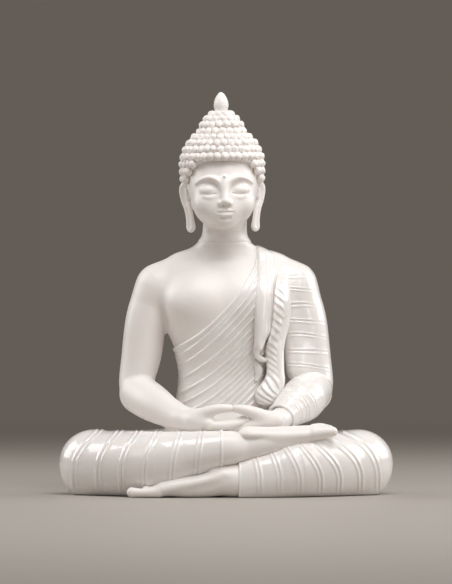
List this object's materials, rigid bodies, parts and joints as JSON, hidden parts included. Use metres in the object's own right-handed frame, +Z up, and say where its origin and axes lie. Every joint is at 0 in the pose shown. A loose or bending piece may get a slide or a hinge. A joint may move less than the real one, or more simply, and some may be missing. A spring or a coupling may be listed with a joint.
{
  "type": "seated figure statue",
  "caption": "Cross-legged seated figure with hands folded in its lap, in hollow white porcelain, on a flat foot rim.",
  "frame": {"origin": "middle of the footprint, on the table that the statue sits on", "axes": "+Z up; the figure faces -Y; its right hand is towards -X"},
  "size_m": [0.2618, 0.1728, 0.32],
  "materials": {
    "skin": "satin",
    "glaze": "gloss",
    "biscuit": "matte"
  },
  "bodies": {
    "root": {"seat_shell": "glaze", "base_disc": "biscuit", "left_leg": "glaze", "right_leg": "glaze", "lap_drape": "glaze", "left_hem": "glaze", "right_hem": "glaze", "left_foot": "skin", "right_foot": "skin", "torso_shell": "skin", "chest_robe": "glaze", "shoulder_sash": "glaze", "left_sleeve_upper": "glaze", "robe_frill": "glaze", "right_forearm": "skin", "left_sleeve_forearm": "glaze", "left_cuff": "glaze", "left_hand": "skin", "right_hand": "skin", "right_thumb": "skin", "left_thumb": "skin", "head_shell": "skin", "crown_bump": "skin", "finial": "skin", "brow_dot": "skin", "curl_row_01": "skin", "curl_row_02": "skin", "curl_row_03": "skin", "curl_row_04": "skin", "curl_row_05": "skin", "curl_row_06": "skin", "curl_row_07": "skin", "curl_row_08": "skin", "curl_row_09": "skin", "curl_row_10": "skin", "curl_row_11": "skin", "curl_row_12": "skin", "curl_row_13": "skin", "curl_row_14": "skin", "right_ear": "skin", "left_ear": "skin"}
  },
  "joints": []
}
